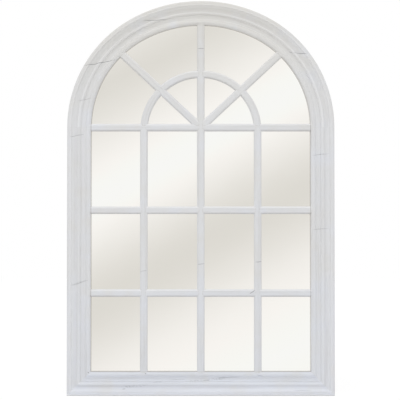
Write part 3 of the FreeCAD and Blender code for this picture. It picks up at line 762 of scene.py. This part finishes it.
def cross_head_screw(name, place, shank, head, length):
    """A countersunk screw with a cross recess in its head, which faces backwards."""
    mesh = bmesh.new()

    def ring(radius, depth):
        angles = [2 * math.pi * step / SCREW_STEPS for step in range(SCREW_STEPS)]
        return [mesh.verts.new((radius * math.cos(a), -depth, radius * math.sin(a))) for a in angles]

    def cross(scale, depth):
        reach, half = head * CROSS_REACH * scale, head * CROSS_HALF_WIDTH
        corners = []
        for quarter in range(4):
            turn = quarter * math.pi / 2
            for x, z in ((reach, -half), (reach, half), (half, half)):
                spun_x = x * math.cos(turn) - z * math.sin(turn)
                spun_z = x * math.sin(turn) + z * math.cos(turn)
                corners.append(mesh.verts.new((spun_x, -depth, spun_z)))
        return corners

    def neighbours(loop):
        """Each vertex of a loop with the one after it."""
        return list(zip(loop, loop[1:] + loop[:1]))

    def skin(first, second):
        for (a, b), (c, d) in zip(neighbours(first), neighbours(second)):
            mesh.faces.new((a, b, d, c))

    rim = ring(head, 0.0)
    neck = ring(shank, head - shank)
    tip_start = ring(shank, length - shank)
    tip = mesh.verts.new((0, -length, 0))
    mouth = cross(1.0, 0.0)
    floor = cross(CROSS_FLOOR, (head - shank) * CROSS_DEPTH)
    skin(rim, neck)
    skin(neck, tip_start)
    for a, b in neighbours(tip_start):
        mesh.faces.new((a, b, tip))
    skin(mouth, floor)
    mesh.faces.new(floor)
    head_edges = [mesh.edges.get(pair) for pair in neighbours(mouth) + neighbours(rim)]
    bmesh.ops.triangle_fill(mesh, use_beauty=True, edges=head_edges)
    bmesh.ops.recalc_face_normals(mesh, faces=mesh.faces)
    data = bpy.data.meshes.new(name)
    mesh.to_mesh(data)
    mesh.free()
    screw = bpy.data.objects.new(name, data)
    screw.location = place
    bpy.context.scene.collection.objects.link(screw)
    return screw


def screw_places(node):
    """The middle of each screw's head, read from the vertices of each loose solid in a node."""
    mesh = bmesh.new()
    mesh.from_mesh(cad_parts[node].data)
    bmesh.ops.remove_doubles(mesh, verts=mesh.verts, dist=SAME_POINT)
    unseen = set(mesh.verts)
    places = []
    while unseen:
        solid, edge = set(), [unseen.pop()]
        while edge:
            vert = edge.pop()
            solid.add(vert)
            for link in vert.link_edges:
                other = link.other_vert(vert)
                if other in unseen:
                    unseen.discard(other)
                    edge.append(other)
        xs = [v.co.x for v in solid]
        zs = [v.co.z for v in solid]
        places.append(((min(xs) + max(xs)) / 2, max(v.co.y for v in solid), (min(zs) + max(zs)) / 2))
    mesh.free()
    return sorted(places)


def fit_screws(node, shank, head, length):
    """Put a screw with a cross recess in the place of each plain one in a node. shank and head are radii."""
    steel = zinc_plate(f"{node}_steel", *SCREW_ZINC)
    for number, place in enumerate(screw_places(node), start=1):
        screw = cross_head_screw(f"{node}_{number}", place, shank, head, length)
        screw.data.materials.append(steel)
        screw.data.shade_smooth()
        screw.data.set_sharp_from_angle(angle=CRISP_EDGE)
        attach(screw, "mirror")
        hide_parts(node)


# Studio.

WHITE = (1.0, 1.0, 1.0, 1.0)
LAMP_PLACE = (-0.3, -2.0, 2.8)
LAMP_AIM = (0.0, 0.0, -0.15)
LAMP_SIZE = 2.2
LAMP_POWER = 25.0

# Slanting bands of light for the mirror to show: their colours in turn, and the run of directions that they
# lie across. They come in one order there, and in the opposite order back.
DARK_BAND = (0.775, 0.752, 0.700, 1.0)
MIDDLE_BAND = (0.950, 0.925, 0.885, 1.0)
BRIGHT_BAND = (1.037, 1.013, 0.978, 1.0)
INNER_BANDS = ((0.30, BRIGHT_BAND), (0.56, DARK_BAND), (0.78, MIDDLE_BAND))
BAND_RUN = (730.2, 0.0, -1327.6)
BAND_START = 193.8
BAND_WIDTH = 370.0

# Plain light: from square to the front, from a slant all round it, and from straight ahead.
EDGE_LIGHT = 0.81
ROUND_LIGHT = 1.12
FRONT_LIGHT = 0.56
ROUND_SLANT = 0.30
# From this far to the side the light falls off, to this share at the very side.
SIDE_START = 0.70
SIDE_SHARE = 0.70

FLOOR_RADIUS = 9.0
FLOOR_TONES = ((0.93, 0.93, 0.93, 1.0), (0.95, 0.95, 0.95, 1.0))
FLOOR_GLOW = 1.04
FLOOR_SHARE = 0.86


def soft_lamp():
    """A wide soft lamp above and in front, aimed at the middle."""
    data = bpy.data.lights.new("overhead", "AREA")
    data.shape = "SQUARE"
    data.size = LAMP_SIZE
    data.energy = LAMP_POWER
    lamp = bpy.data.objects.new("overhead", data)
    lamp.location = LAMP_PLACE
    lamp.visible_glossy = False
    lamp.rotation_euler = (Vector(LAMP_AIM) - Vector(LAMP_PLACE)).to_track_quat("-Z", "Y").to_euler()
    bpy.context.scene.collection.objects.link(lamp)


def mirrored_bands(nodes, direction):
    """The colour of the bands of light in a direction."""
    spot = nodes.maths("DIVIDE", nodes.plus(nodes.dot(direction, BAND_RUN), BAND_START), BAND_WIDTH)
    there_and_back = nodes.maths("PINGPONG", spot, 1.0)
    bands = nodes.add("ShaderNodeValToRGB", {0: there_and_back})
    ramp = bands.color_ramp
    ramp.interpolation = "CARDINAL"
    ramp.elements[0].position = 0.0
    ramp.elements[0].color = DARK_BAND
    ramp.elements[1].position = 1.0
    ramp.elements[1].color = BRIGHT_BAND
    for position, colour in INNER_BANDS:
        ramp.elements.new(position).color = colour
    return bands.outputs[0]


def plain_light(nodes, direction):
    """How strong the plain light is from a direction."""
    front = nodes.dot(direction, (0.0, -1.0, 0.0))
    rise = nodes.ranged(front, 0.0, ROUND_SLANT, EDGE_LIGHT, ROUND_LIGHT, smooth=True)
    fall = nodes.ranged(front, ROUND_SLANT, 1.0, 0.0, ROUND_LIGHT - FRONT_LIGHT, smooth=True)
    side = nodes.unsigned(nodes.dot(direction, (1.0, 0.0, 0.0)))
    return nodes.times(nodes.minus(rise, fall), nodes.ranged(side, SIDE_START, 1.0, 1.0, SIDE_SHARE))


def studio_world():
    """White behind the object, bands of light for the mirror to show, and plain light for all the rest."""
    world = bpy.data.worlds.new("studio")
    world.use_nodes = True
    world.node_tree.nodes.clear()
    nodes = Nodes(world.node_tree)
    direction = nodes.add("ShaderNodeTexCoord").outputs["Generated"]

    def background(colour, strength):
        return nodes.add("ShaderNodeBackground", {"Color": colour, "Strength": strength}).outputs[0]

    plain = background(WHITE, plain_light(nodes, direction))
    bands = background(mirrored_bands(nodes, direction), 1.0)
    white = background(WHITE, 1.0)
    path = nodes.add("ShaderNodeLightPath").outputs
    mirrored = nodes.maths("MAXIMUM", path["Is Glossy Ray"], path["Is Transmission Ray"])
    lit = nodes.add("ShaderNodeMixShader", {0: mirrored, 1: plain, 2: bands}).outputs[0]
    seen = nodes.add("ShaderNodeMixShader", {0: path["Is Camera Ray"], 1: lit, 2: white}).outputs[0]
    nodes.add("ShaderNodeOutputWorld", {"Surface": seen})
    bpy.context.scene.world = world


def pale_floor():
    """Matt and pale for the object, and lit to white for the camera and for what shines."""
    material, nodes = new_material("pale_floor")
    mottle = nodes.noise(nodes.place(), 3.0)
    tone = nodes.mix(nodes.ranged(mottle, 0.3, 0.7), *FLOOR_TONES)
    matt = nodes.add("ShaderNodeBsdfDiffuse", {"Color": tone}).outputs[0]
    glow = nodes.add("ShaderNodeEmission", {"Color": WHITE, "Strength": FLOOR_GLOW}).outputs[0]
    path = nodes.add("ShaderNodeLightPath").outputs
    shown = nodes.maths("MAXIMUM", path["Is Camera Ray"], path["Is Glossy Ray"])
    shown = nodes.maths("MAXIMUM", shown, path["Is Transmission Ray"])
    share = nodes.times(shown, FLOOR_SHARE)
    surface = nodes.add("ShaderNodeMixShader", {0: share, 1: matt, 2: glow}).outputs[0]
    nodes.add("ShaderNodeOutputMaterial", {"Surface": surface})
    return material


def studio_floor():
    """A wide pale floor that the camera sees as white, apart from the object's soft shadow."""
    mesh = bmesh.new()
    bmesh.ops.create_circle(mesh, cap_ends=True, segments=96, radius=FLOOR_RADIUS)
    data = bpy.data.meshes.new("studio_floor")
    mesh.to_mesh(data)
    mesh.free()
    data.materials.append(pale_floor())
    floor = bpy.data.objects.new("studio_floor", data)
    floor.location = (0.0, 0.0, cad_box[0].z)
    floor.visible_glossy = False
    bpy.context.scene.collection.objects.link(floor)


def camera():
    """The photograph's straight front view, from a little under the middle, as its slight taper shows."""
    data = bpy.data.cameras.new("camera")
    data.sensor_width = SENSOR
    data.lens = SENSOR * CAMERA_DISTANCE / (FRAME_PIXELS * PIXEL)
    view = bpy.data.objects.new("camera", data)
    aim = Vector((AIM_X, OUTLINE_DEPTH, AIM_LEVEL))
    view.location = aim + Vector((0.0, -CAMERA_DISTANCE, -CAMERA_DROP))
    view.rotation_euler = (aim - view.location).to_track_quat("-Z", "Y").to_euler()
    bpy.context.scene.collection.objects.link(view)
    bpy.context.scene.camera = view


bpy.context.scene.view_settings.view_transform = "Standard"
camera()
studio_world()
studio_floor()
soft_lamp()
paint_frame_and_bars()
silver_the_panes()
dress_the_back()
fit_screws("backing_screws", shank=0.0015, head=0.003, length=0.011)
fit_screws("hanger_screws", shank=0.00175, head=0.0035, length=0.015)
